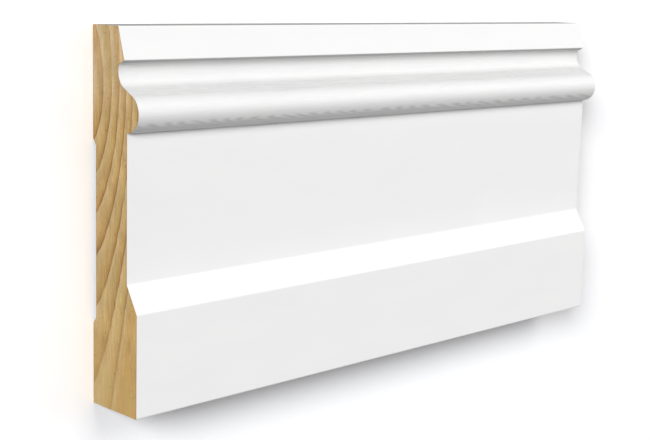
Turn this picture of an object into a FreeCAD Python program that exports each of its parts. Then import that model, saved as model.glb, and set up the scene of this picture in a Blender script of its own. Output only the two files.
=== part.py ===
import FreeCAD, Part
import math
import os
import Sketcher

# A short length of moulded softwood skirting board, planed and moulded from one piece of timber.
# It lies on its back: X runs along the length, Y from the foot edge to the top edge, and Z out of the
# moulded face. The origin is at the middle of the length and the width, in the plane of the back's pads.

# Driving dimensions in millimetres. A setback is a depth behind the plinth's face, and a drop is a
# distance down from the top edge.
SIZES = {
    "board_length": 285.0,
    "board_width": 145.0,
    "plinth_thickness": 27.3,
    "plinth_width": 40.0,
    "splay_width": 10.5,
    "panel_setback": 6.2,
    "bead_radius": 7.3,
    "bead_proud": 0.7,
    "bead_drop": 31.1,
    "cove_radius": 6.6,
    "cove_setback": 11.6,
    "cove_drop": 16.3,
    "quirk_drop": 1.7,
    "fillet_width": 12.1,
    "fillet_setback": 8.0,
    "top_edge_setback": 11.6,
    "lower_pad_width": 32.0,
    "upper_pad_width": 42.2,
    "relief_depth": 1.8,
    "relief_shoulder": 2.4,
    "arris_radius": 0.5,
}

START, END, CENTRE = 1, 2, 3
ORIGIN = (-1, 1)
NEAR_ENOUGH = 1e-4


def make_sheet(doc):
    """The spreadsheet that every sketch and feature reads its sizes from."""
    sheet = doc.addObject("Spreadsheet::Sheet", "Sizes")
    for row, (alias, value) in enumerate(SIZES.items(), start=1):
        sheet.set(f"A{row}", alias)
        sheet.set(f"B{row}", str(value))
        sheet.setAlias(f"B{row}", alias)
    doc.recompute()
    return sheet


def section_sketch(body, name):
    """A sketch on the body's own cross-section plane, with its x along Y and its y along Z."""
    plane = [f for f in body.Origin.OriginFeatures if f.Role == "YZ_Plane"][0]
    sketch = body.newObject("Sketcher::SketchObject", name)
    sketch.AttachmentSupport = [(plane, "")]
    sketch.MapMode = "FlatFace"
    return sketch


def line(sketch, start, end):
    """A straight stretch of the outline, and its number in the sketch."""
    ends = [FreeCAD.Vector(*start, 0), FreeCAD.Vector(*end, 0)]
    return sketch.addGeometry(Part.LineSegment(*ends))


def arc(sketch, centre, radius, start, end):
    """An arc of the outline, drawn anticlockwise from the point start to the point end."""
    angles = [math.atan2(p[1] - centre[1], p[0] - centre[0]) for p in (start, end)]
    circle = Part.Circle(FreeCAD.Vector(*centre, 0), FreeCAD.Vector(0, 0, 1), radius)
    return sketch.addGeometry(Part.ArcOfCircle(circle, *angles))


def join(sketch, *pairs):
    """Each pair of ends, (piece, end, piece, end), meets in one point."""
    for pair in pairs:
        sketch.addConstraint(Sketcher.Constraint("Coincident", *pair))


def measure(sketch, kind, places, name, formula):
    """A dimension named name, which holds the value of formula in the spreadsheet's sizes."""
    value = float(sketch.evalExpression(formula))
    number = sketch.addConstraint(Sketcher.Constraint(kind, *places, value))
    sketch.renameConstraint(number, name)
    sketch.setExpression(f"Constraints.{name}", formula)


def inner_tangent(bead, bead_radius, cove, cove_radius):
    """Where the straight part of the ogee leaves the bead and where it runs into the cove."""
    across = FreeCAD.Vector(*cove, 0) - FreeCAD.Vector(*bead, 0)
    turn = math.acos((bead_radius + cove_radius) / across.Length)
    heading = math.atan2(across.y, across.x) + turn
    out = (math.cos(heading), math.sin(heading))
    leaves_bead = [c + bead_radius * o for c, o in zip(bead, out)]
    meets_cove = [c - cove_radius * o for c, o in zip(cove, out)]
    return leaves_bead, meets_cove


def outline_points(size):
    """The section's corners and arc centres, each (y, z), worked out from the sizes."""
    foot = -size["board_width"] / 2
    top = size["board_width"] / 2
    face = size["plinth_thickness"]
    panel = face - size["panel_setback"]
    bead = (top - size["bead_drop"], face + size["bead_proud"] - size["bead_radius"])
    cove = (top - size["cove_drop"], face - size["cove_setback"] + size["cove_radius"])
    nose = (top - size["fillet_width"], face - size["fillet_setback"])
    under_bead = bead[0] - math.sqrt(size["bead_radius"] ** 2 - (panel - bead[1]) ** 2)
    quirk = nose[0] - size["quirk_drop"]
    quirk_depth = math.sqrt(size["cove_radius"] ** 2 - (quirk - cove[0]) ** 2)
    leaves_bead, meets_cove = inner_tangent(
        bead, size["bead_radius"], cove, size["cove_radius"]
    )
    return {
        "foot_back": (foot, 0),
        "foot_front": (foot, face),
        "plinth_top": (foot + size["plinth_width"], face),
        "splay_top": (foot + size["plinth_width"] + size["splay_width"], panel),
        "under_bead": (under_bead, panel),
        "bead": bead,
        "leaves_bead": leaves_bead,
        "meets_cove": meets_cove,
        "cove": cove,
        "quirk": (quirk, cove[1] - quirk_depth),
        "nose": nose,
        "top_front": (top, face - size["top_edge_setback"]),
        "top_back": (top, 0),
    }


def draw_section(body):
    """The moulding's outline: plinth, splay, sunk panel, bead, cove, quirk and splayed top fillet."""
    sketch = section_sketch(body, "MouldedSection")
    at = outline_points(SIZES)
    foot_edge = line(sketch, at["foot_back"], at["foot_front"])
    plinth = line(sketch, at["foot_front"], at["plinth_top"])
    splay = line(sketch, at["plinth_top"], at["splay_top"])
    panel = line(sketch, at["splay_top"], at["under_bead"])
    bead = arc(sketch, at["bead"], SIZES["bead_radius"], at["leaves_bead"], at["under_bead"])
    ogee = line(sketch, at["leaves_bead"], at["meets_cove"])
    cove = arc(sketch, at["cove"], SIZES["cove_radius"], at["meets_cove"], at["quirk"])
    quirk = line(sketch, at["quirk"], at["nose"])
    fillet = line(sketch, at["nose"], at["top_front"])
    top_edge = line(sketch, at["top_front"], at["top_back"])
    back = line(sketch, at["top_back"], at["foot_back"])

    join(
        sketch,
        (foot_edge, END, plinth, START),
        (plinth, END, splay, START),
        (splay, END, panel, START),
        (panel, END, bead, END),
        (cove, END, quirk, START),
        (quirk, END, fillet, START),
        (fillet, END, top_edge, START),
        (top_edge, END, back, START),
        (back, END, foot_edge, START),
    )
    for level in (plinth, panel, back):
        sketch.addConstraint(Sketcher.Constraint("Horizontal", level))
    for upright in (foot_edge, top_edge):
        sketch.addConstraint(Sketcher.Constraint("Vertical", upright))
    sketch.addConstraint(Sketcher.Constraint("Symmetric", back, START, back, END, *ORIGIN))
    sketch.addConstraint(Sketcher.Constraint("Tangent", bead, START, ogee, START))
    sketch.addConstraint(Sketcher.Constraint("Tangent", ogee, END, cove, START))

    face_end = (plinth, END)
    top_front = (top_edge, START)
    across = "DistanceX"
    outward = "DistanceY"
    measure(sketch, across, (back, END, back, START), "Width", "Sizes.board_width")
    measure(sketch, outward, (foot_edge, START, foot_edge, END), "Thickness", "Sizes.plinth_thickness")
    measure(sketch, across, (plinth, START, plinth, END), "Plinth", "Sizes.plinth_width")
    measure(sketch, across, (splay, START, splay, END), "Splay", "Sizes.splay_width")
    measure(sketch, outward, (splay, END, splay, START), "PanelSetback", "Sizes.panel_setback")
    measure(sketch, "Radius", (bead,), "BeadRadius", "Sizes.bead_radius")
    measure(sketch, across, (bead, CENTRE, *top_front), "BeadDrop", "Sizes.bead_drop")
    measure(
        sketch, outward, (bead, CENTRE, *face_end), "BeadDepth", "Sizes.bead_radius - Sizes.bead_proud"
    )
    measure(sketch, "Radius", (cove,), "CoveRadius", "Sizes.cove_radius")
    measure(sketch, across, (cove, CENTRE, *top_front), "CoveDrop", "Sizes.cove_drop")
    measure(
        sketch, outward, (cove, CENTRE, *face_end), "CoveDepth", "Sizes.cove_setback - Sizes.cove_radius"
    )
    measure(sketch, across, (quirk, START, quirk, END), "QuirkDrop", "Sizes.quirk_drop")
    measure(sketch, across, (fillet, START, *top_front), "FilletWidth", "Sizes.fillet_width")
    measure(sketch, outward, (fillet, START, *face_end), "FilletSetback", "Sizes.fillet_setback")
    measure(sketch, outward, (*top_front, *face_end), "TopEdgeSetback", "Sizes.top_edge_setback")
    return sketch


def draw_relief(body):
    """The shallow channel planed out of the back, between the two pads, with splayed shoulders."""
    sketch = section_sketch(body, "BackRelief")
    low = -SIZES["board_width"] / 2 + SIZES["lower_pad_width"]
    high = SIZES["board_width"] / 2 - SIZES["upper_pad_width"]
    run = SIZES["relief_shoulder"]
    depth = SIZES["relief_depth"]
    mouth = line(sketch, (high, 0), (low, 0))
    lower_shoulder = line(sketch, (low, 0), (low + run, depth))
    channel_floor = line(sketch, (low + run, depth), (high - run, depth))
    upper_shoulder = line(sketch, (high - run, depth), (high, 0))

    join(
        sketch,
        (mouth, END, lower_shoulder, START),
        (lower_shoulder, END, channel_floor, START),
        (channel_floor, END, upper_shoulder, START),
        (upper_shoulder, END, mouth, START),
    )
    sketch.addConstraint(Sketcher.Constraint("Horizontal", channel_floor))
    sketch.addConstraint(Sketcher.Constraint("PointOnObject", mouth, START, -1))
    sketch.addConstraint(Sketcher.Constraint("PointOnObject", mouth, END, -1))
    half = "Sizes.board_width / 2"
    across = "DistanceX"
    measure(sketch, across, (mouth, END, *ORIGIN), "LowerPad", f"{half} - Sizes.lower_pad_width")
    measure(sketch, across, (*ORIGIN, mouth, START), "UpperPad", f"{half} - Sizes.upper_pad_width")
    for name, ends in (
        ("LowerShoulder", (lower_shoulder, START, lower_shoulder, END)),
        ("UpperShoulder", (upper_shoulder, START, upper_shoulder, END)),
    ):
        measure(sketch, across, ends, name, "Sizes.relief_shoulder")
    depth_ends = (lower_shoulder, START, lower_shoulder, END)
    measure(sketch, "DistanceY", depth_ends, "Depth", "Sizes.relief_depth")
    return sketch


def add_along_length(body, kind, name, sketch):
    """Runs a section the whole length of the board, half to each side of its middle."""
    feature = body.newObject(kind, name)
    feature.Profile = sketch
    feature.SideType = "Symmetric"
    feature.setExpression("Length", "Sizes.board_length")
    sketch.Visibility = False
    return feature


def long_edges(shape, places):
    """The names of the edges that run along X through the given (y, z) places."""
    names = []
    for number, edge in enumerate(shape.Edges, start=1):
        ends = [vertex.Point for vertex in edge.Vertexes]
        for y, z in places:
            if all(math.hypot(p.y - y, p.z - z) < NEAR_ENOUGH for p in ends):
                names.append(f"Edge{number}")
    return names


def ease_arrises(body, base):
    """The light rounding that a moulder leaves on the four outer corners along the length."""
    at = outline_points(SIZES)
    corners = [at[place] for place in ("foot_back", "foot_front", "top_front", "top_back")]
    names = long_edges(base.Shape, corners)
    if len(names) != len(corners):
        raise RuntimeError(f"expected {len(corners)} outer corners and found {names}")
    fillet = body.newObject("PartDesign::Fillet", "EasedArrises")
    fillet.Base = (base, names)
    fillet.setExpression("Radius", "Sizes.arris_radius")
    return fillet


def check_document(doc):
    """Stops the build if a sketch is loose or a feature failed."""
    for item in doc.Objects:
        if "Invalid" in item.State or "Error" in item.State:
            raise RuntimeError(f"{item.Name} failed: {item.State}")
        if item.TypeId == "Sketcher::SketchObject" and not item.FullyConstrained:
            raise RuntimeError(f"{item.Name} isn't fully constrained")


def check_relief(uncut, cut):
    """Compares what the channel took out of the board with its section times the length."""
    width = SIZES["board_width"] - SIZES["lower_pad_width"] - SIZES["upper_pad_width"]
    area = SIZES["relief_depth"] * (width - SIZES["relief_shoulder"])
    expected = area * SIZES["board_length"]
    removed = uncut.Shape.Volume - cut.Shape.Volume
    if abs(removed - expected) > 0.001 * expected:
        raise RuntimeError(f"the back relief took out {removed:.0f} mm3, not {expected:.0f}")


def build_board(doc):
    """The one solid: the moulded section run to length, backed out and with its arrises eased."""
    body = doc.addObject("PartDesign::Body", "SkirtingBoard")
    body.Label = "skirting_board"
    moulded = add_along_length(body, "PartDesign::Pad", "MouldedLength", draw_section(body))
    doc.recompute()
    relieved = add_along_length(body, "PartDesign::Pocket", "RelievedBack", draw_relief(body))
    doc.recompute()
    check_relief(moulded, relieved)
    ease_arrises(body, relieved)
    doc.recompute()
    return body


def main():
    doc = FreeCAD.newDocument("SkirtingBoardLength")
    make_sheet(doc)
    body = build_board(doc)
    check_document(doc)
    shape = body.Shape
    if shape.isNull() or not shape.isValid() or len(shape.Solids) != 1:
        raise RuntimeError(f"{body.Label} isn't one valid solid")
    os.makedirs("parts", exist_ok=True)
    shape.exportStep(f"parts/{body.Label}.step")
    box = shape.BoundBox
    print(f"{body.Label}: {box.XLength:.2f} x {box.YLength:.2f} x {box.ZLength:.2f} mm")
    print(f"volume {shape.Volume / 1000:.1f} cm3, z from {box.ZMin:.3f} to {box.ZMax:.3f} mm")


main()
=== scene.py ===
import math

import bpy
from mathutils import Matrix, Vector


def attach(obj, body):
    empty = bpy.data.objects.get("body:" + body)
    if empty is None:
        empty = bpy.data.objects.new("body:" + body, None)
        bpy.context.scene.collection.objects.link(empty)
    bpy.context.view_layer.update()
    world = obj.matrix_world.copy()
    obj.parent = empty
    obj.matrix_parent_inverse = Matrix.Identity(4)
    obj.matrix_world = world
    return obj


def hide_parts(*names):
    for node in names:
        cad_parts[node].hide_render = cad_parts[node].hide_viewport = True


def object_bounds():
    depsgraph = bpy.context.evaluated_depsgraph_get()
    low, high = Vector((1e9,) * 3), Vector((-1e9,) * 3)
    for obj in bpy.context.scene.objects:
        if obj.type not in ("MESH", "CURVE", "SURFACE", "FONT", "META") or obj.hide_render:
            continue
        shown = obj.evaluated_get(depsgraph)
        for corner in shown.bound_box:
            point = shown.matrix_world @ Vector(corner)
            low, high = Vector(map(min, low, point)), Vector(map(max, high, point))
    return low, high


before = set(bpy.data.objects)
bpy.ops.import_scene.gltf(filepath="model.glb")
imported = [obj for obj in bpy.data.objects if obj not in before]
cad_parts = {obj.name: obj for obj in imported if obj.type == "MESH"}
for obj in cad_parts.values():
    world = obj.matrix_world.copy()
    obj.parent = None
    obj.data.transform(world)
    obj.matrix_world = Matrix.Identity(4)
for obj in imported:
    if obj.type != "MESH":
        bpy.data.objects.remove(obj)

# A short length of white-primed pine skirting board, lying on its back. X runs along its length, Y from the
# foot edge to the top edge and Z out of the moulded face. Blender's unit is the metre, and sizes are in mm.
MM = 0.001
CAD_LOW, CAD_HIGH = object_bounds()

# The board's overall size, from the frame.
LENGTH = (CAD_HIGH.x - CAD_LOW.x) / MM
FOOT = CAD_LOW.y / MM
TOP = CAD_HIGH.y / MM
BEAD_FACE = CAD_HIGH.z / MM

# The moulded section. A setback is a depth behind the plinth's face, and a drop is down from the top edge.
BEAD_PROUD = 0.7
FACE = BEAD_FACE - BEAD_PROUD
PLINTH_WIDTH = 40.0
SPLAY_WIDTH = 10.5
PANEL_SETBACK = 6.2
BEAD_RADIUS = 7.3
BEAD_DROP = 31.1
COVE_RADIUS = 6.6
COVE_SETBACK = 11.6
COVE_DROP = 16.3
QUIRK_DROP = 1.7
FILLET_WIDTH = 12.1
FILLET_SETBACK = 8.0
TOP_SETBACK = 11.6
ARRIS = 0.5

# Points (y, z) of the section: the centres of the ogee's bead and cove, the fillet's nose and the quirk
# beside the cove.
BEAD = (TOP - BEAD_DROP, BEAD_FACE - BEAD_RADIUS)
COVE = (TOP - COVE_DROP, FACE - COVE_SETBACK + COVE_RADIUS)
NOSE = (TOP - FILLET_WIDTH, FACE - FILLET_SETBACK)
QUIRK_Y = NOSE[0] - QUIRK_DROP
QUIRK = (QUIRK_Y, COVE[1] - math.sqrt(COVE_RADIUS**2 - (QUIRK_Y - COVE[0]) ** 2))

# The back, planed hollow between two pads.
LOWER_PAD = 32.0
UPPER_PAD = 42.2
RELIEF_DEPTH = 1.8
RELIEF_SHOULDER = 2.4

# How finely the board is divided: the step in mm along its outline, how far on each side of a point its
# corners are eased, the length and the turn that a row covers, the steps round an eased long corner, the
# points along the board and through it, how much they crowd towards the ends, and the angle past which an
# edge is shaded sharp.
WALK = 0.02
SOFTENING = 0.22
ROW_STEP = 0.62
ROW_TURN = math.radians(8)
ARRIS_STEPS = 5
STATIONS = 52
LAYERS = 46
END_CROWDING = 0.42
SHARP_ANGLE = math.radians(28)

# Where a cut end starts, as a share of the way from the middle, and a difference too small to count.
ON_END = 0.9999
TINY = 1e-9

# Growth rings: the pith lies just behind the back, below the top edge. The rings are flattened ovals round
# it, and the last four numbers say how they spread out with the distance from it and along the ovals.
PITH_Y = 47.2
PITH_Z = -5.7
ACROSS_SCALE = 0.0500
ALONG_SCALE = 0.0321
FIRST_RING = -0.846
RING_RATE = (2.512, 0.911)
FLATTENING = (-0.414, -1.203)
INNERMOST_RING = 0.02

# How far in mm the pith drifts by the far end and the rings waver, each with the length and the width of
# its waves.
PITH_DRIFT = 5.0
DRIFT_WAVES = (190, 45)
RING_WAVER = 0.9
WAVER_WAVES = (50, 4.5)

# The cut ends: how deep the softest wood is worn in mm, how far in from the rim the wear reaches its full
# depth, and how much of it follows the rings. The rest is roughness.
END_WEAR = 0.06
WEAR_RIM = 1.2
WEAR_BY_RINGS = 0.6

# The bake map gives each side of the board a strip: where the strip starts, and how wide it is.
BAKE_MAP = "OFBake"
BAKE_STRIPS = {
    "near_end": (0.005, 0.195),
    "far_end": (0.210, 0.195),
    "face": (0.415, 0.335),
    "back": (0.760, 0.150),
    "foot": (0.920, 0.035),
    "top": (0.965, 0.030),
}


def between(start, end, share):
    return tuple(a + (b - a) * share for a, b in zip(start, end))


def colour(red, green, blue):
    """A colour as a screen shows it, from 0 to 255, as the light that it stands for."""
    shown = [channel / 255 for channel in (red, green, blue)]
    light = [c / 12.92 if c <= 0.04045 else ((c + 0.055) / 1.055) ** 2.4 for c in shown]
    return (*light, 1.0)


# Node trees

def add(tree, kind, inputs=None, **settings):
    """A new node with its settings made and its inputs set, each to a value or to another node's output."""
    node = tree.nodes.new(kind)
    for name, value in settings.items():
        setattr(node, name, value)
    for name, value in (inputs or {}).items():
        feed(tree, node.inputs[name], value)
    return node


def feed(tree, socket, value):
    """Links an output to a socket, or sets the socket's own value."""
    if isinstance(value, bpy.types.NodeSocket):
        tree.links.new(value, socket)
    else:
        socket.default_value = value


def calc(tree, operation, *values):
    """Arithmetic on numbers, in a material or a shape tree."""
    node = add(tree, "ShaderNodeMath", operation=operation)
    for socket, value in zip(node.inputs, values):
        feed(tree, socket, value)
    return node.outputs[0]


def vector_calc(tree, operation, *values):
    """Arithmetic on vectors. A dot product or a length comes out as a number."""
    node = add(tree, "ShaderNodeVectorMath", operation=operation)
    for socket, value in zip(node.inputs, values):
        feed(tree, socket, value)
    single = operation in ("DOT_PRODUCT", "LENGTH", "DISTANCE")
    return node.outputs["Value" if single else "Vector"]


def scaled(tree, place, factor):
    """A place multiplied by a number, or by one number for each axis."""
    amounts = (factor, factor, factor) if isinstance(factor, (int, float)) else factor
    return vector_calc(tree, "MULTIPLY", place, amounts)


def axes_of(tree, place):
    """The three numbers of a place."""
    return add(tree, "ShaderNodeSeparateXYZ", {"Vector": place}).outputs


def eased_range(tree, value, low, high, out_low=0.0, out_high=1.0):
    """Goes smoothly from out_low to out_high while value goes from low to high."""
    inputs = {"Value": value, "From Min": low, "From Max": high, "To Min": out_low, "To Max": out_high}
    return add(tree, "ShaderNodeMapRange", inputs, interpolation_type="SMOOTHSTEP").outputs["Result"]


def noise(tree, place, grain, detail=2.0, roughness=0.5):
    """Cloudy variation round 0.5. grain is the size of its lumps in mm, or one size for each axis."""
    sizes = (grain, grain, grain) if isinstance(grain, (int, float)) else grain
    stretched = scaled(tree, place, tuple(1 / size for size in sizes))
    inputs = {"Vector": stretched, "Scale": 1.0, "Detail": detail, "Roughness": roughness}
    return add(tree, "ShaderNodeTexNoise", inputs).outputs[0]


def wandering(tree, place, length, wave, reach):
    """Shifts a place by up to about half of reach, in waves that are long along the grain."""
    inputs = {"Vector": scaled(tree, place, (1 / length, 1 / wave, 1 / wave)), "Scale": 1.0, "Detail": 1.0}
    cloud = add(tree, "ShaderNodeTexNoise", inputs).outputs["Color"]
    centred = vector_calc(tree, "SUBTRACT", cloud, (0.5, 0.5, 0.5))
    return vector_calc(tree, "MULTIPLY", centred, reach)


def growth(tree, place):
    """How many growth rings out from the pith a place in mm lies, and its direction from the pith."""
    from_end = calc(tree, "ADD", axes_of(tree, place)[0], LENGTH / 2)
    drift = calc(tree, "MULTIPLY", from_end, PITH_DRIFT / LENGTH)
    reach = add(tree, "ShaderNodeCombineXYZ", {"Y": drift, "Z": drift}).outputs[0]
    slow = wandering(tree, place, *DRIFT_WAVES, reach)
    quick = wandering(tree, place, *WAVER_WAVES, (0.0, RING_WAVER, RING_WAVER))
    moved = vector_calc(tree, "ADD", place, vector_calc(tree, "ADD", slow, quick))
    from_pith = vector_calc(tree, "SUBTRACT", moved, (0.0, PITH_Y, PITH_Z))
    flat = scaled(tree, from_pith, (0.0, ALONG_SCALE, ACROSS_SCALE))
    radius = vector_calc(tree, "LENGTH", flat)
    along = axes_of(tree, flat)[1]
    rate = calc(tree, "MULTIPLY_ADD", radius, RING_RATE[1], RING_RATE[0])
    number = calc(tree, "MULTIPLY_ADD", radius, rate, FIRST_RING)
    flatter = calc(tree, "MULTIPLY_ADD", along, FLATTENING[1], FLATTENING[0])
    number = calc(tree, "MULTIPLY_ADD", along, flatter, number)
    return calc(tree, "MAXIMUM", number, INNERMOST_RING), flat


def ring_share(tree, place):
    """How far through its growth ring a place is: 0 in the early wood, 1 at the end of the late wood."""
    return calc(tree, "FRACT", growth(tree, place)[0])


# The section's outline

def straight(start, end):
    """Close points along a straight stretch, without its last."""
    count = max(1, round(math.dist(start, end) / WALK))
    return [between(start, end, i / count) for i in range(count)]


def leaning(centre, radius, lean):
    """The point of a circle where its outward direction leans from +Z towards +Y by this angle."""
    return centre[0] + radius * math.sin(lean), centre[1] + radius * math.cos(lean)


def curve(centre, radius, first_lean, last_lean):
    """Close points along an arc, without its last."""
    count = max(1, round(abs(last_lean - first_lean) * radius / WALK))
    step = (last_lean - first_lean) / count
    return [leaning(centre, radius, first_lean + step * i) for i in range(count)]


def lean_of(centre, point):
    return math.atan2(point[0] - centre[0], point[1] - centre[1])


def ogee_slope():
    """The straight part of the ogee: its lean, and where it leaves the bead and runs into the cove."""
    # It touches both circles, which lie on its two sides.
    crossing = math.acos((BEAD_RADIUS + COVE_RADIUS) / math.dist(BEAD, COVE))
    lean = lean_of(BEAD, COVE) - crossing
    return lean, leaning(BEAD, BEAD_RADIUS, lean), leaning(COVE, COVE_RADIUS, lean + math.pi)


def moulded_path():
    """The face from the plinth to the top edge as close points (y, z), its corners still sharp."""
    panel = FACE - PANEL_SETBACK
    plinth_top = (FOOT + PLINTH_WIDTH, FACE)
    splay_top = (plinth_top[0] + SPLAY_WIDTH, panel)
    under_bead = (BEAD[0] - math.sqrt(BEAD_RADIUS**2 - (panel - BEAD[1]) ** 2), panel)
    ogee_lean, leaves_bead, meets_cove = ogee_slope()
    arris_start = leaning(*top_arris())
    return [
        *straight((FOOT + ARRIS, FACE), plinth_top),
        *straight(plinth_top, splay_top),
        *straight(splay_top, under_bead),
        *curve(BEAD, BEAD_RADIUS, lean_of(BEAD, under_bead), ogee_lean),
        *straight(leaves_bead, meets_cove),
        *curve(COVE, COVE_RADIUS, ogee_lean + math.pi, lean_of(COVE, QUIRK) % math.tau),
        *straight(QUIRK, NOSE),
        *straight(NOSE, arris_start),
        arris_start,
    ]


def top_arris():
    """The eased corner between the top fillet and the top edge: its centre, radius and first lean."""
    lean = math.atan((TOP_SETBACK - FILLET_SETBACK) / FILLET_WIDTH)
    centre_y = TOP - ARRIS
    rise = (NOSE[0] - centre_y) * math.sin(lean) - ARRIS
    return (centre_y, NOSE[1] + rise / math.cos(lean)), ARRIS, lean


def softened(path):
    """The path with its corners eased, as paint leaves them: each point is the mean of its neighbours."""
    reach = round(SOFTENING / WALK)
    sums = [(0.0, 0.0)]
    for y, z in path:
        sums.append((sums[-1][0] + y, sums[-1][1] + z))
    out = []
    for i in range(len(path)):
        near = min(reach, i, len(path) - 1 - i)
        first = sums[i - near]
        last = sums[i + near + 1]
        out.append(tuple((b - a) / (2 * near + 1) for a, b in zip(first, last)))
    return out


def rows_along(path):
    """Points picked from a path, closer together where it turns."""
    headings = [math.atan2(b[1] - a[1], b[0] - a[0]) for a, b in zip(path, path[1:])]
    effort = [0.0]
    for i, (a, b) in enumerate(zip(path, path[1:])):
        turn = abs(headings[i] - headings[max(i - 1, 0)])
        effort.append(effort[-1] + math.dist(a, b) / ROW_STEP + turn / ROW_TURN)
    count = round(effort[-1])
    picked = []
    at = 0
    for row in range(count + 1):
        while at < len(path) - 1 and effort[at] < row * effort[-1] / count - TINY:
            at += 1
        picked.append(path[at])
    return picked


def face_outline():
    """The moulded face in rows, from the foot edge to the top edge."""
    steps = range(ARRIS_STEPS)
    foot_centre = (FOOT + ARRIS, FACE - ARRIS)
    foot = [leaning(foot_centre, ARRIS, -math.pi / 2 * (1 - i / ARRIS_STEPS)) for i in steps]
    centre, radius, lean = top_arris()
    turn = (math.pi / 2 - lean) / ARRIS_STEPS
    top = [leaning(centre, radius, lean + turn * (i + 1)) for i in steps]
    return [*foot, *rows_along(softened(moulded_path())), *top]


def back_height(y):
    """How high the back stands off the floor at y: on a pad, in the hollow, or on an eased corner."""
    from_edge = min(y - FOOT, TOP - y)
    if from_edge < ARRIS:
        return ARRIS - math.sqrt(ARRIS**2 - (ARRIS - from_edge) ** 2)
    from_pad = min(y - FOOT - LOWER_PAD, TOP - UPPER_PAD - y)
    return RELIEF_DEPTH * min(max(from_pad / RELIEF_SHOULDER, 0.0), 1.0)


def outline_object(name, outline):
    """Loose vertices along an outline, which the board's shape tree reads."""
    mesh = bpy.data.meshes.new(name)
    mesh.from_pydata([(0.0, y * MM, z * MM) for y, z in outline], [], [])
    made = bpy.data.objects.new(name, mesh)
    bpy.context.scene.collection.objects.link(made)
    return made


# The board's shape

def capture(tree, geometry, domain, kind, name, value):
    """Keeps a value on the mesh before it is moved. Returns the mesh and the kept value."""
    node = add(tree, "GeometryNodeCaptureAttribute", domain=domain)
    node.capture_items.new(kind, name)
    feed(tree, node.inputs["Geometry"], geometry)
    feed(tree, node.inputs[name], value)
    return node.outputs["Geometry"], node.outputs[name]


def compare(tree, value, operation, limit):
    inputs = {0: value, 1: limit}
    return add(tree, "FunctionNodeCompare", inputs, data_type="FLOAT", operation=operation).outputs[0]


def switch(tree, choice, if_false, if_true, kind="FLOAT"):
    inputs = {"Switch": choice, "False": if_false, "True": if_true}
    return add(tree, "GeometryNodeSwitch", inputs, input_type=kind).outputs[0]


def outline_place(tree, outline, row):
    """The place of an outline's vertex number row."""
    shape = add(tree, "GeometryNodeObjectInfo", {"Object": outline}).outputs["Geometry"]
    position = add(tree, "GeometryNodeInputPosition").outputs[0]
    inputs = {"Geometry": shape, "Value": position, "Index": row}
    node = add(tree, "GeometryNodeSampleIndex", inputs, data_type="FLOAT_VECTOR", domain="POINT")
    return node.outputs[0]


def side_tests(tree, side):
    """For each side of the board, whether a face of the uncut block belongs to it."""
    x, y, z = axes_of(tree, side)
    return {
        "near_end": compare(tree, x, "LESS_THAN", -0.5),
        "far_end": compare(tree, x, "GREATER_THAN", 0.5),
        "face": compare(tree, z, "GREATER_THAN", 0.5),
        "back": compare(tree, z, "LESS_THAN", -0.5),
        "foot": compare(tree, y, "LESS_THAN", -0.5),
        "top": compare(tree, y, "GREATER_THAN", 0.5),
    }


def bake_place(tree, tests, block):
    """The place on the bake map: each side of the board has a strip of its own."""
    along, across, through = axes_of(tree, block)
    is_end = calc(tree, "MAXIMUM", tests["near_end"], tests["far_end"])
    is_wide = calc(tree, "MAXIMUM", tests["face"], tests["back"])
    from_left = switch(tree, is_end, along, across)
    within = switch(tree, is_wide, through, across)
    start = 0.0
    width = 0.0
    for side, (low, wide) in BAKE_STRIPS.items():
        start = calc(tree, "MULTIPLY_ADD", tests[side], low, start)
        width = calc(tree, "MULTIPLY_ADD", tests[side], wide, width)
    from_foot = calc(tree, "MULTIPLY_ADD", within, width, start)
    return add(tree, "ShaderNodeCombineXYZ", {"X": from_left, "Y": from_foot}).outputs[0]


def end_relief(tree, place, edge_depth, depth):
    """How far the cut end recedes, in mm: the soft early wood most, and nothing at the rim."""
    late = calc(tree, "POWER", ring_share(tree, place), 3.0)
    worn = calc(tree, "SUBTRACT", 1.0, late)
    rough = noise(tree, place, 0.9, detail=1.0)
    roughness = calc(tree, "MULTIPLY", rough, 1.0 - WEAR_BY_RINGS)
    both = calc(tree, "MULTIPLY_ADD", worn, WEAR_BY_RINGS, roughness)
    from_rim = eased_range(tree, edge_depth, 0.0, WEAR_RIM)
    return calc(tree, "MULTIPLY", calc(tree, "MULTIPLY", both, from_rim), depth)


BOARD_INPUTS = {
    "Face outline": "NodeSocketObject",
    "Back outline": "NodeSocketObject",
    "Length": "NodeSocketFloat",
    "Stations": "NodeSocketInt",
    "Rows": "NodeSocketInt",
    "Layers": "NodeSocketInt",
    "End relief": "NodeSocketFloat",
    "Primer": "NodeSocketMaterial",
    "Edge coat": "NodeSocketMaterial",
    "Back coat": "NodeSocketMaterial",
    "End grain": "NodeSocketMaterial",
}


def section_place(tree, given, across, through):
    """The place between the two outlines, as three numbers, and the board's thickness there."""
    last_row = calc(tree, "SUBTRACT", given["Rows"], 1.0)
    row = calc(tree, "ROUND", calc(tree, "MULTIPLY", across, last_row))
    face_place = outline_place(tree, given["Face outline"], row)
    back_place = outline_place(tree, given["Back outline"], row)
    mixed = add(tree, "ShaderNodeMix", data_type="VECTOR")
    feed(tree, mixed.inputs[0], through)
    feed(tree, mixed.inputs[4], back_place)
    feed(tree, mixed.inputs[5], face_place)
    thickness = vector_calc(tree, "DISTANCE", back_place, face_place)
    return axes_of(tree, mixed.outputs[1]), thickness


def depth_within(tree, through, thickness):
    """How deep a place lies in mm, from the nearer of the face and the back."""
    nearest = calc(tree, "MINIMUM", through, calc(tree, "SUBTRACT", 1.0, through))
    return calc(tree, "MULTIPLY", calc(tree, "MULTIPLY", nearest, thickness), 1 / MM)


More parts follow.
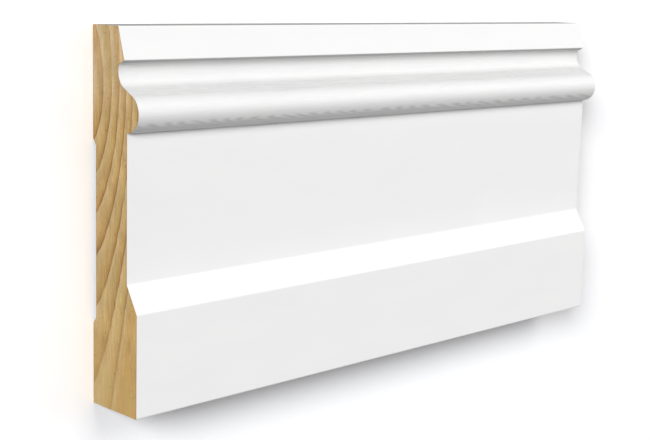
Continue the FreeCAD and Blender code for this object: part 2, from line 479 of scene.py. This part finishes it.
def place_along(tree, given, from_middle):
    """How far from the board's middle a place is, with the stations crowded towards the two ends."""
    squared = calc(tree, "MULTIPLY", from_middle, from_middle)
    crowding = calc(tree, "MULTIPLY_ADD", squared, -END_CROWDING, 1.0 + END_CROWDING)
    half = calc(tree, "MULTIPLY", given["Length"], 0.5)
    return calc(tree, "MULTIPLY", calc(tree, "MULTIPLY", from_middle, crowding), half)


def worn_ends(tree, given, from_middle, run, section, edge_depth):
    """The run with the wear of the two cut ends taken off it."""
    uncut = {"X": run, "Y": section[1], "Z": section[2]}
    place = scaled(tree, add(tree, "ShaderNodeCombineXYZ", uncut).outputs[0], 1 / MM)
    wear = calc(tree, "MULTIPLY", end_relief(tree, place, edge_depth, given["End relief"]), MM)
    on_end = compare(tree, calc(tree, "ABSOLUTE", from_middle), "GREATER_THAN", ON_END)
    inward = calc(tree, "MULTIPLY", calc(tree, "SIGN", from_middle), wear)
    return switch(tree, on_end, run, calc(tree, "SUBTRACT", run, inward))


def stored(tree, geometry, name, value, kind, domain):
    """The mesh with a value kept on it under a name."""
    inputs = {"Geometry": geometry, "Name": name, "Value": value}
    node = add(tree, "GeometryNodeStoreNamedAttribute", inputs, data_type=kind, domain=domain)
    return node.outputs[0]


def shaded(tree, geometry):
    """The mesh shaded smooth, but for its sharp corners."""
    inputs = {"Geometry": geometry, "Shade Smooth": True}
    geometry = add(tree, "GeometryNodeSetShadeSmooth", inputs, domain="FACE").outputs[0]
    angle = add(tree, "GeometryNodeInputMeshEdgeAngle").outputs["Unsigned Angle"]
    sharp = compare(tree, angle, "GREATER_THAN", SHARP_ANGLE)
    inputs = {"Geometry": geometry, "Selection": sharp, "Shade Smooth": False}
    return add(tree, "GeometryNodeSetShadeSmooth", inputs, domain="EDGE").outputs[0]


def coated(tree, geometry, given, tests):
    """The mesh with its four finishes, each on its own sides."""
    is_end = calc(tree, "MAXIMUM", tests["near_end"], tests["far_end"])
    is_edge = calc(tree, "MAXIMUM", tests["foot"], tests["top"])
    coats = (
        (True, "Primer"),
        (is_edge, "Edge coat"),
        (tests["back"], "Back coat"),
        (is_end, "End grain"),
    )
    for chosen, material in coats:
        inputs = {"Geometry": geometry, "Selection": chosen, "Material": given[material]}
        geometry = add(tree, "GeometryNodeSetMaterial", inputs).outputs[0]
    return geometry


def board_tree():
    """The board as a block of fine squares: each row takes its place from the two outlines."""
    tree = bpy.data.node_groups.new("MouldedBoard", "GeometryNodeTree")
    for name, kind in BOARD_INPUTS.items():
        tree.interface.new_socket(name, in_out="INPUT", socket_type=kind)
    tree.interface.new_socket("Board", in_out="OUTPUT", socket_type="NodeSocketGeometry")
    given = add(tree, "NodeGroupInput").outputs

    sizes = {
        "Vertices X": given["Stations"],
        "Vertices Y": given["Rows"],
        "Vertices Z": given["Layers"],
    }
    geometry = add(tree, "GeometryNodeMeshCube", {"Size": (1, 1, 1), **sizes}).outputs["Mesh"]
    position = add(tree, "GeometryNodeInputPosition").outputs[0]
    normal = add(tree, "GeometryNodeInputNormal").outputs[0]
    share = vector_calc(tree, "ADD", position, (0.5, 0.5, 0.5))
    geometry, block = capture(tree, geometry, "POINT", "VECTOR", "Block", share)
    geometry, side = capture(tree, geometry, "FACE", "VECTOR", "Side", normal)
    tests = side_tests(tree, side)

    along, across, through = axes_of(tree, block)
    section, thickness = section_place(tree, given, across, through)
    edge_depth = depth_within(tree, through, thickness)
    from_middle = calc(tree, "MULTIPLY_ADD", along, 2.0, -1.0)
    run = place_along(tree, given, from_middle)
    run = worn_ends(tree, given, from_middle, run, section, edge_depth)
    places = {"X": run, "Y": section[1], "Z": section[2]}
    final_place = add(tree, "ShaderNodeCombineXYZ", places).outputs[0]
    inputs = {"Geometry": geometry, "Position": final_place}
    geometry = add(tree, "GeometryNodeSetPosition", inputs).outputs[0]

    bake_map = bake_place(tree, tests, block)
    geometry = stored(tree, geometry, BAKE_MAP, bake_map, "FLOAT2", "CORNER")
    geometry = stored(tree, geometry, "edge_depth", edge_depth, "FLOAT", "POINT")
    geometry = shaded(tree, geometry)
    geometry = add(tree, "GeometryNodeRealizeInstances", {"Geometry": geometry}).outputs[0]
    geometry = coated(tree, geometry, given, tests)
    add(tree, "NodeGroupOutput", {"Board": geometry})
    return tree


def baked_board(name, values):
    """Runs the board's shape tree with these values and keeps the result as a plain mesh."""
    tree = board_tree()
    maker = bpy.data.objects.new(name + "_maker", bpy.data.meshes.new(name + "_maker"))
    bpy.context.scene.collection.objects.link(maker)
    modifier = maker.modifiers.new("MouldedBoard", "NODES")
    modifier.node_group = tree
    for item in tree.interface.items_tree:
        if item.in_out == "INPUT":
            modifier[item.identifier] = values[item.name]
    graph = bpy.context.evaluated_depsgraph_get()
    mesh = bpy.data.meshes.new_from_object(
        maker.evaluated_get(graph), preserve_all_data_layers=True, depsgraph=graph
    )
    bpy.data.objects.remove(maker)
    # The tree's block starts with an empty material slot, which no face uses.
    mesh.materials.pop(index=0)
    mesh.name = name
    board = bpy.data.objects.new(name, mesh)
    bpy.context.scene.collection.objects.link(board)
    return board


# Materials

def new_material(name):
    """An empty material's tree, its Principled shader and its surface in mm."""
    material = bpy.data.materials.new(name)
    material.use_nodes = True
    tree = material.node_tree
    tree.nodes.clear()
    shader = add(tree, "ShaderNodeBsdfPrincipled")
    add(tree, "ShaderNodeOutputMaterial", {"Surface": shader.outputs[0]})
    place = add(tree, "ShaderNodeTexCoord").outputs["Object"]
    return material, tree, shader, scaled(tree, place, 1 / MM)


def mixed_colour(tree, share, first, second, blend="MIX"):
    node = add(tree, "ShaderNodeMix", data_type="RGBA", blend_type=blend)
    feed(tree, node.inputs[0], share)
    feed(tree, node.inputs[6], first)
    feed(tree, node.inputs[7], second)
    return node.outputs[2]


def ramp(tree, value, stops):
    """A colour for each value, from (position, colour) stops."""
    node = add(tree, "ShaderNodeValToRGB", {"Fac": value})
    elements = node.color_ramp.elements
    while len(elements) < len(stops):
        elements.new(1.0)
    for element, (position, shade) in zip(elements, stops):
        element.position = position
        element.color = shade
    return node.outputs["Color"]


def bumped(tree, shader, height_mm, strength=1.0):
    """Gives the surface a fine relief, its height in mm."""
    height = calc(tree, "MULTIPLY", height_mm, MM)
    inputs = {"Height": height, "Strength": strength, "Distance": 1.0}
    feed(tree, shader.inputs["Normal"], add(tree, "ShaderNodeBump", inputs).outputs[0])


# The wood's colour through one growth ring, outwards from the pith. The late wood is dark in the middle of
# the board, and hardly darker than the rest near the foot and the top.
RING_COLOURS = (
    (0.00, colour(190, 166, 125)),
    (0.08, colour(192, 166, 121)),
    (0.30, colour(190, 161, 110)),
    (0.60, colour(186, 154, 100)),
    (0.80, colour(176, 141, 86)),
    (0.93, colour(156, 118, 66)),
    (0.985, colour(136, 97, 50)),
)
FOOT_COLOURS = (
    (0.00, colour(191, 163, 111)),
    (0.20, colour(193, 167, 118)),
    (0.50, colour(190, 161, 110)),
    (0.80, colour(184, 152, 97)),
    (0.93, colour(176, 143, 90)),
    (0.985, colour(172, 139, 86)),
)
TOP_COLOURS = (
    (0.00, colour(203, 179, 142)),
    (0.12, colour(205, 182, 147)),
    (0.35, colour(199, 172, 132)),
    (0.60, colour(192, 160, 112)),
    (0.85, colour(186, 151, 104)),
    (0.985, colour(183, 148, 104)),
)
CALM_WOOD = colour(184, 150, 94)
ORANGE_WOOD = colour(193, 148, 95)
OLIVE_WOOD = colour(184, 163, 106)
DARK_WOOD = colour(134, 97, 52)

# Where on the board's width (y) the colours start and end their change to those of the foot and the top,
# at which numbers of rings the wood starts and ends its change to one calm colour, and where (y) the grain
# starts to gain and has gained its full strength, with its strength at the foot.
TO_FOOT_COLOURS = (-8.0, -60.0)
TO_TOP_COLOURS = (34.0, 62.0)
TO_CALM_WOOD = (7.05, 7.6)
TO_FULL_GRAIN = (-60.0, -46.0)
GRAIN_AT_FOOT = 0.5

# How much lighter and darker each kind of grain makes the wood.
RAY_CONTRAST = 0.05
FIBRE_CONTRAST = 0.13
SPECK_CONTRAST = 0.10
CLOUD_CONTRAST = 0.10

# The dark rim of a cut end: how wide it is in mm, and how dark.
RIM_WIDTH = 0.7
RIM_DARKNESS = 0.4

# How high the saw marks, the specks and the rays stand, in mm.
SAW_RELIEF = 0.05
SPECK_RELIEF = 0.04
RAY_RELIEF = 0.02


def ring_coloured(tree, place, number, share):
    """The wood's colour in its rings, with patches of more orange and of greener wood."""
    y = axes_of(tree, place)[1]
    wood = ramp(tree, share, RING_COLOURS)
    at_foot = eased_range(tree, y, *TO_FOOT_COLOURS)
    wood = mixed_colour(tree, at_foot, wood, ramp(tree, share, FOOT_COLOURS))
    at_top = eased_range(tree, y, *TO_TOP_COLOURS)
    wood = mixed_colour(tree, at_top, wood, ramp(tree, share, TOP_COLOURS))
    calm = eased_range(tree, number, *TO_CALM_WOOD, 0.0, 0.9)
    wood = mixed_colour(tree, calm, wood, CALM_WOOD)
    hue = noise(tree, place, (60.0, 16.0, 7.0), detail=2.0)
    wood = mixed_colour(tree, eased_range(tree, hue, 0.52, 0.72, 0.0, 0.28), wood, ORANGE_WOOD)
    return mixed_colour(tree, eased_range(tree, hue, 0.48, 0.28, 0.0, 0.40), wood, OLIVE_WOOD)


def rays_from_pith(tree, number, flat):
    """Fine streaks that run straight out from the pith, across the rings."""
    along, through = axes_of(tree, flat)[1:]
    angle = calc(tree, "ARCTAN2", through, along)
    ray_place = add(tree, "ShaderNodeCombineXYZ", {"X": angle, "Y": number, "Z": 0.3}).outputs[0]
    return noise(tree, ray_place, (1 / 150, 1.6, 1.0))


def grained(tree, place, wood, rays, specks):
    """The wood made lighter and darker by its rays, fibres, specks and clouds."""
    fibres = noise(tree, place, (3.0, 6.0, 0.34), detail=3.0, roughness=0.6)
    clouds = noise(tree, place, (60.0, 12.0, 5.0), detail=3.0)
    strength = eased_range(tree, axes_of(tree, place)[1], *TO_FULL_GRAIN, GRAIN_AT_FOOT, 1.0)
    variations = (
        (rays, RAY_CONTRAST),
        (fibres, FIBRE_CONTRAST),
        (specks, SPECK_CONTRAST),
        (clouds, CLOUD_CONTRAST),
    )
    for variation, amount in variations:
        level = eased_range(tree, variation, 0.3, 0.7, 1.0 - amount, 1.0 + amount)
        wood = mixed_colour(tree, strength, wood, level, "MULTIPLY")
    return wood


def end_grain():
    """Bare pine across the grain: rings that darken outwards, rays, resin canals and saw marks."""
    material, tree, shader, place = new_material("pine_end_grain")
    number, flat = growth(tree, place)
    share = calc(tree, "FRACT", number)
    rays = rays_from_pith(tree, number, flat)
    specks = noise(tree, place, (0.3, 0.3, 0.16), detail=2.0)
    wood = ring_coloured(tree, place, number, share)
    wood = grained(tree, place, wood, rays, specks)
    wood = mixed_colour(tree, resin_canals(tree, place, share), wood, DARK_WOOD)
    edge = add(tree, "ShaderNodeAttribute", attribute_name="edge_depth").outputs["Fac"]
    rim = eased_range(tree, edge, RIM_WIDTH, 0.0, 0.0, RIM_DARKNESS)
    wood = mixed_colour(tree, rim, wood, DARK_WOOD)
    feed(tree, shader.inputs["Base Color"], wood)
    shader.inputs["Specular IOR Level"].default_value = 0.2
    feed(tree, shader.inputs["Roughness"], eased_range(tree, share, 0.0, 1.0, 0.86, 0.66))
    saw = noise(tree, place, (4.0, 0.5, 14.0), detail=2.0)
    height = calc(tree, "MULTIPLY_ADD", saw, SAW_RELIEF, calc(tree, "MULTIPLY", specks, SPECK_RELIEF))
    height = calc(tree, "MULTIPLY_ADD", rays, RAY_RELIEF, height)
    bumped(tree, shader, height, 0.6)
    return material


# Resin canals, in mm: how far apart they are, and how far from its centre one's rim and dark middle reach.
CANAL_SPACING = 2.0
CANAL_RADII = (0.42, 0.18)


def resin_canals(tree, place, share):
    """Small dark dots scattered in the later part of each ring."""
    flat = scaled(tree, place, (0.0, 1 / CANAL_SPACING, 1 / CANAL_SPACING))
    cells = add(tree, "ShaderNodeTexVoronoi", {"Vector": flat, "Scale": 1.0, "Randomness": 1.0})
    rim, middle = (radius / CANAL_SPACING for radius in CANAL_RADII)
    dot = eased_range(tree, cells.outputs["Distance"], rim, middle)
    # Nearly half of the cells have no dot, and the dots of the others differ in darkness.
    chosen = eased_range(tree, axes_of(tree, cells.outputs["Color"])[0], 0.45, 1.0, 0.0, 0.8)
    late = eased_range(tree, share, 0.3, 0.75, 0.25, 1.0)
    return calc(tree, "MULTIPLY", calc(tree, "MULTIPLY", dot, chosen), late)


PRIMER_WHITES = (colour(245, 245, 245), colour(246.5, 246.5, 246))
# Grey for the shade painted into the primer in the cove, under the nose, on the slope and under the bead,
# and for its fibre streaks.
SHADE_AND_STREAK_GREY = colour(190, 190, 189)

# Each thin coat, first where it covers well and then where the wood takes it in.
FOOT_COAT = (colour(234, 233, 231), colour(222, 220, 215))
# The top coat's grey is painted shade on the top edge.
TOP_COAT_AND_SHADE = (colour(182, 181, 178), colour(166, 164, 160))
BACK_COAT = (colour(240, 240, 238), colour(229, 224, 212))

# How strong the shade painted into the primer is at its strongest, from 0 to 1, at four places of the ogee.
COVE_PAINTED_SHADE = 0.42
NOSE_PAINTED_SHADOW = 0.68
SLOPE_PAINTED_SHADE = 0.38
BEAD_PAINTED_SHADE = 0.25

# How far in mm the cove's painted shade reaches from the quirk. Then from where to where the others change:
# with the distance from the nose and from the slope, and with the way round the bead from its crown, where
# the painted shade first comes and then goes.
COVE_REACH = 8.5
NOSE_REACH = (1.9, 0.9)
SLOPE_REACH = (8.0, 2.5)
BEAD_SHADE_COMES = (-2.4, 3.0)
BEAD_SHADE_GOES = (8.8, 6.8)

# The hooked marks under the bead, which break up its painted shade: how far round it from its crown they
# start in mm, where they come and go from there, and how much they take off the painted shade between them
# and add to it in them.
HOOK_START = 3.9
HOOKS_COME = (-0.9, 0.0)
HOOKS_GO = (2.5, 1.6)
HOOK_SHADE_CHANGE = (-0.12, 0.32)

# How fast the hooks trail off, how many there are in a mm of length at the near end, how they thin out
# along the board, and how far they sway, with the size of those waves in mm.
HOOK_TRAIL = 2.4
HOOK_RATE = 0.145
HOOK_THINNING = 0.00012
HOOK_SWAY = 1.35
HOOK_WAVES = (18.0, 1.6, 1.6)


def distance_from(tree, place, point):
    """How far in mm a place is from the line along the board through a point (y, z) of its section."""
    in_section = scaled(tree, place, (0.0, 1.0, 1.0))
    return vector_calc(tree, "DISTANCE", in_section, (0.0, *point))


def below_crown(tree, place):
    """How far round the bead a place is from its crown, in mm towards the foot."""
    y, z = axes_of(tree, place)[1:]
    across = calc(tree, "SUBTRACT", y, BEAD[0])
    outward = calc(tree, "SUBTRACT", z, BEAD[1])
    return calc(tree, "MULTIPLY", calc(tree, "ARCTAN2", across, outward), -BEAD_RADIUS)


def hooked_marks(tree, place, round_bead):
    """A row of small dark hooks under the bead's crown, which break up the shade painted there."""
    below = calc(tree, "SUBTRACT", round_bead, HOOK_START)
    drop = calc(tree, "POWER", calc(tree, "MAXIMUM", below, 0.0), 2.0)
    from_end = calc(tree, "ADD", axes_of(tree, place)[0], LENGTH / 2)
    from_end = calc(tree, "MULTIPLY_ADD", drop, -HOOK_TRAIL, from_end)
    rate = calc(tree, "MULTIPLY_ADD", from_end, -HOOK_THINNING, HOOK_RATE)
    sway = calc(tree, "MULTIPLY", noise(tree, place, HOOK_WAVES), HOOK_SWAY)
    number = calc(tree, "MULTIPLY_ADD", from_end, rate, sway)
    from_middle = calc(tree, "ABSOLUTE", calc(tree, "SUBTRACT", calc(tree, "FRACT", number), 0.5))
    mark = eased_range(tree, from_middle, 0.38, 0.08, *HOOK_SHADE_CHANGE)
    come = eased_range(tree, below, *HOOKS_COME)
    within = calc(tree, "MULTIPLY", come, eased_range(tree, below, *HOOKS_GO))
    return calc(tree, "MULTIPLY", mark, within)


def painted_primer_shade(tree, place, below_nose):
    """Shade painted into the primer: in the cove, under the nose, on the slope and below the bead's crown.
    """
    from_quirk = distance_from(tree, place, QUIRK)
    broad = calc(tree, "MAXIMUM", calc(tree, "MULTIPLY_ADD", from_quirk, -1 / COVE_REACH, 1.0), 0.0)
    broad = calc(tree, "MULTIPLY", calc(tree, "POWER", broad, 0.8), COVE_PAINTED_SHADE)
    from_nose = distance_from(tree, place, between(NOSE, QUIRK, 0.26))
    under_nose = eased_range(tree, from_nose, *NOSE_REACH, 0.0, NOSE_PAINTED_SHADOW)
    in_cove = calc(tree, "MULTIPLY", calc(tree, "ADD", broad, under_nose), below_nose)
    from_slope = distance_from(tree, place, between(*ogee_slope()[1:], 0.45))
    on_slope = eased_range(tree, from_slope, *SLOPE_REACH, 0.0, SLOPE_PAINTED_SHADE)
    round_bead = below_crown(tree, place)
    on_bead = eased_range(tree, round_bead, *BEAD_SHADE_COMES, 0.0, BEAD_PAINTED_SHADE)
    on_bead = calc(tree, "MULTIPLY", on_bead, eased_range(tree, round_bead, *BEAD_SHADE_GOES))
    on_bead = calc(tree, "ADD", on_bead, hooked_marks(tree, place, round_bead))
    return calc(tree, "MAXIMUM", calc(tree, "MAXIMUM", in_cove, on_slope), on_bead)


# How far below the nose in mm the ogee's painted shade and grain are complete, where beside the bead its
# rougher grain starts and is complete (y), how far from the slope its streaks start and are darkest, with
# how dark they are at both, and how far apart the planer's knife marks are.
NOSE_BLEND = 0.4
OGEE_GRAIN_START = (33.0, 35.0)
STREAK_REACH = (5.0, 2.0)
STREAK_DARKNESS = (0.07, 0.26)
KNIFE_PITCH = 1.9

# How high the grain stands in the primer in mm: the late wood's ridges, the fibres on the flats and how
# much more on the ogee, the mist of the spray, and the knife marks.
RIDGE_RELIEF = 0.010
FIBRE_RELIEF = 0.014
OGEE_RELIEF = 0.02
MIST_RELIEF = 0.005
KNIFE_RELIEF = 0.0006


def fibres_along(tree, place, length=20.0):
    """Fine streaks along the grain, as the wood's fibres show in a coat of primer."""
    return noise(tree, place, (length, 0.6, 0.6), detail=3.0, roughness=0.6)


def ogee_streaks(tree, place, fibres):
    """Darker primer along its fibres: grain, darkest near the slope, inside its painted shade."""
    from_slope = distance_from(tree, place, between(*ogee_slope()[1:], 0.5))
    depth = eased_range(tree, from_slope, *STREAK_REACH, *STREAK_DARKNESS)
    return calc(tree, "MULTIPLY", eased_range(tree, fibres, 0.42, 0.62), depth)


def primer_relief(tree, place, fibres, mist, on_ogee):
    """The height of the primer in mm."""
    ridge = calc(tree, "POWER", ring_share(tree, place), 4.0)
    knife = calc(tree, "SINE", calc(tree, "MULTIPLY", axes_of(tree, place)[0], math.tau / KNIFE_PITCH))
    raised = calc(tree, "MULTIPLY_ADD", on_ogee, OGEE_RELIEF, FIBRE_RELIEF)
    height = calc(tree, "MULTIPLY_ADD", fibres, raised, calc(tree, "MULTIPLY", ridge, RIDGE_RELIEF))
    for part, amount in ((mist, MIST_RELIEF), (knife, KNIFE_RELIEF)):
        height = calc(tree, "MULTIPLY_ADD", part, amount, height)
    return height


def primer():
    """White satin primer on planed pine. Ring lines, fibres and knife marks just show in it."""
    material, tree, shader, place = new_material("white_primer")
    y = axes_of(tree, place)[1]
    below_nose = eased_range(tree, y, NOSE[0], NOSE[0] - NOSE_BLEND)
    coat_thickness = noise(tree, place, (40.0, 14.0, 14.0), detail=3.0)
    coat = mixed_colour(tree, eased_range(tree, coat_thickness, 0.3, 0.7), *PRIMER_WHITES)
    # Shade is painted in: the coat turns grey in the cove, under the nose, on the slope and under the bead.
    coat = mixed_colour(tree, painted_primer_shade(tree, place, below_nose), coat, SHADE_AND_STREAK_GREY)

    # The cutter leaves a little more of the grain on the ogee than the planer does on the flats.
    on_ogee = calc(tree, "MULTIPLY", eased_range(tree, y, *OGEE_GRAIN_START), below_nose)
    waves = wandering(tree, place, 9.0, 9.0, (0.0, 1.6, 1.6))
    fibres = fibres_along(tree, vector_calc(tree, "ADD", place, waves))
    # The fibre streaks are grain, made darkest near the slope inside its painted shade.
    streaks = calc(tree, "MULTIPLY", ogee_streaks(tree, place, fibres), on_ogee)
    coat = mixed_colour(tree, streaks, coat, SHADE_AND_STREAK_GREY)
    feed(tree, shader.inputs["Base Color"], coat)

    mist = noise(tree, place, 1.1, detail=2.0)
    bumped(tree, shader, primer_relief(tree, place, fibres, mist, on_ogee), 0.5)
    feed(tree, shader.inputs["Roughness"], eased_range(tree, mist, 0.3, 0.7, 0.47, 0.54))
    shader.inputs["Specular IOR Level"].default_value = 0.3
    return material


def edge_coat():
    """A thinner, duller coat on the narrow planed edges, where primer sinks in. The top's grey is painted
    shade.
    """
    material, tree, shader, place = new_material("thin_edge_coat_and_top_shade")
    fibres = fibres_along(tree, place, 24.0)
    thin = eased_range(tree, fibres, 0.35, 0.75)
    foot_coat = mixed_colour(tree, thin, *FOOT_COAT)
    # The top's grey stands in for shade on the top edge.
    top_coat_and_shade = mixed_colour(tree, thin, *TOP_COAT_AND_SHADE)
    at_top = calc(tree, "GREATER_THAN", axes_of(tree, place)[1], 0.0)
    feed(tree, shader.inputs["Base Color"], mixed_colour(tree, at_top, foot_coat, top_coat_and_shade))
    bumped(tree, shader, calc(tree, "MULTIPLY", fibres, 0.02), 0.6)
    shader.inputs["Roughness"].default_value = 0.8
    shader.inputs["Specular IOR Level"].default_value = 0.05
    return material


def back_coat():
    """One thin coat of primer on the back, rougher, with the grain showing a little more."""
    material, tree, shader, place = new_material("thin_back_coat")
    share = ring_share(tree, place)
    fibres = fibres_along(tree, place)
    patches = noise(tree, place, (30.0, 18.0, 18.0), detail=3.0)
    thin = calc(tree, "MULTIPLY", calc(tree, "POWER", share, 3.0), 0.35)
    thin = calc(tree, "MULTIPLY_ADD", eased_range(tree, patches, 0.45, 0.75), 0.35, thin)
    feed(tree, shader.inputs["Base Color"], mixed_colour(tree, thin, *BACK_COAT))
    height = calc(tree, "MULTIPLY_ADD", fibres, 0.03, calc(tree, "MULTIPLY", thin, 0.02))
    bumped(tree, shader, height, 0.6)
    shader.inputs["Roughness"].default_value = 0.62
    return material


# The stage

CAMERA_PLACE = Vector((-433.59, 91.79, 415.52)) * MM
CAMERA_FORWARD = Vector((0.69501, -0.17717, -0.69683))
CAMERA_UP = Vector((0.1045, 0.9838, -0.1459))
LENS = 74.649

KEY_FROM = Vector((-0.782, 0.349, 0.517))
KEY_LEVEL = 0.935
KEY_SIZE = math.radians(22)
FILL_FROM = Vector((0.05, 0.585, 0.81))
FILL_LEVEL = 0.235
FILL_SIZE = math.radians(30)
SIDE_FROM = Vector((0.59, 0.17, 0.79))
SIDE_LEVEL = 0.14
SIDE_SIZE = math.radians(40)
END_FROM = Vector((0.97, 0.20, 0.13))
END_LEVEL = 0.12
END_SIZE = math.radians(20)
SKY_LEVEL = 0.10
FLOOR_WHITE = (1.14, 1.145, 1.165, 1.0)
FLOOR_GREY = (0.5, 0.5, 0.5, 1.0)

# How far the floor reaches from its middle, and how far it lies below the board against flicker. In metres.
FLOOR_REACH = 4.0
FLOOR_DROP = 0.05 * MM


def place_camera():
    data = bpy.data.cameras.new("Camera")
    data.lens = LENS
    camera = bpy.data.objects.new("Camera", data)
    bpy.context.scene.collection.objects.link(camera)
    back = -CAMERA_FORWARD.normalized()
    right = CAMERA_UP.cross(back).normalized()
    turned = Matrix((right, back.cross(right), back)).transposed()
    camera.matrix_world = Matrix.Translation(CAMERA_PLACE) @ turned.to_4x4()
    bpy.context.scene.camera = camera


def far_light(name, comes_from, level, size):
    """A soft light from far off. A level of 1 shows a white surface that faces it as white."""
    data = bpy.data.lights.new(name, "SUN")
    data.energy = level * math.pi
    data.angle = size
    light = bpy.data.objects.new(name, data)
    light.rotation_mode = "QUATERNION"
    light.rotation_quaternion = comes_from.to_track_quat("Z", "Y")
    bpy.context.scene.collection.objects.link(light)


def seen_directly(tree):
    """1 for what the camera sees, straight or mirrored, and 0 for the light that falls on the board."""
    rays = add(tree, "ShaderNodeLightPath").outputs
    return calc(tree, "MAXIMUM", rays["Is Camera Ray"], rays["Is Glossy Ray"])


def make_sky():
    world = bpy.data.worlds.new("Studio")
    world.use_nodes = True
    tree = world.node_tree
    tree.nodes.clear()
    level = calc(tree, "MULTIPLY_ADD", seen_directly(tree), 1.0 - SKY_LEVEL, SKY_LEVEL)
    sky = add(tree, "ShaderNodeBackground", {"Color": (1, 1, 1, 1), "Strength": level})
    add(tree, "ShaderNodeOutputWorld", {"Surface": sky.outputs[0]})
    bpy.context.scene.world = world


def make_floor():
    """A wide floor that shows as white where no shadow falls. To the board's own light it is mid grey."""
    signs = ((-1, -1), (1, -1), (1, 1), (-1, 1))
    corners = [(x * FLOOR_REACH, y * FLOOR_REACH, -FLOOR_DROP) for x, y in signs]
    mesh = bpy.data.meshes.new("Floor")
    mesh.from_pydata(corners, [], [(0, 1, 2, 3)])
    floor = bpy.data.objects.new("Floor", mesh)
    bpy.context.scene.collection.objects.link(floor)
    material = bpy.data.materials.new("white_floor")
    material.use_nodes = True
    tree = material.node_tree
    tree.nodes.clear()
    plain = add(tree, "ShaderNodeBsdfDiffuse", {"Color": FLOOR_GREY})
    shown = add(tree, "ShaderNodeBsdfDiffuse", {"Color": FLOOR_WHITE})
    inputs = {0: seen_directly(tree), 1: plain.outputs[0], 2: shown.outputs[0]}
    surface = add(tree, "ShaderNodeMixShader", inputs)
    add(tree, "ShaderNodeOutputMaterial", {"Surface": surface.outputs[0]})
    mesh.materials.append(material)


def make_board():
    outline = face_outline()
    face = outline_object("face_outline", outline)
    back = outline_object("back_outline", [(y, back_height(y)) for y, _ in outline])
    board = baked_board(
        "moulded_board",
        {
            "Face outline": face,
            "Back outline": back,
            "Length": LENGTH * MM,
            "Stations": STATIONS,
            "Rows": len(outline),
            "Layers": LAYERS,
            "End relief": END_WEAR,
            "Primer": primer(),
            "Edge coat": edge_coat(),
            "Back coat": back_coat(),
            "End grain": end_grain(),
        },
    )
    for helper in (face, back):
        bpy.data.objects.remove(helper)
    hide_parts("skirting_board")
    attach(board, "root")


place_camera()
make_sky()
make_floor()
far_light("Key", KEY_FROM, KEY_LEVEL, KEY_SIZE)
far_light("Fill", FILL_FROM, FILL_LEVEL, FILL_SIZE)
far_light("Side", SIDE_FROM, SIDE_LEVEL, SIDE_SIZE)
far_light("End", END_FROM, END_LEVEL, END_SIZE)
make_board()
bpy.context.scene.view_settings.view_transform = "Standard"
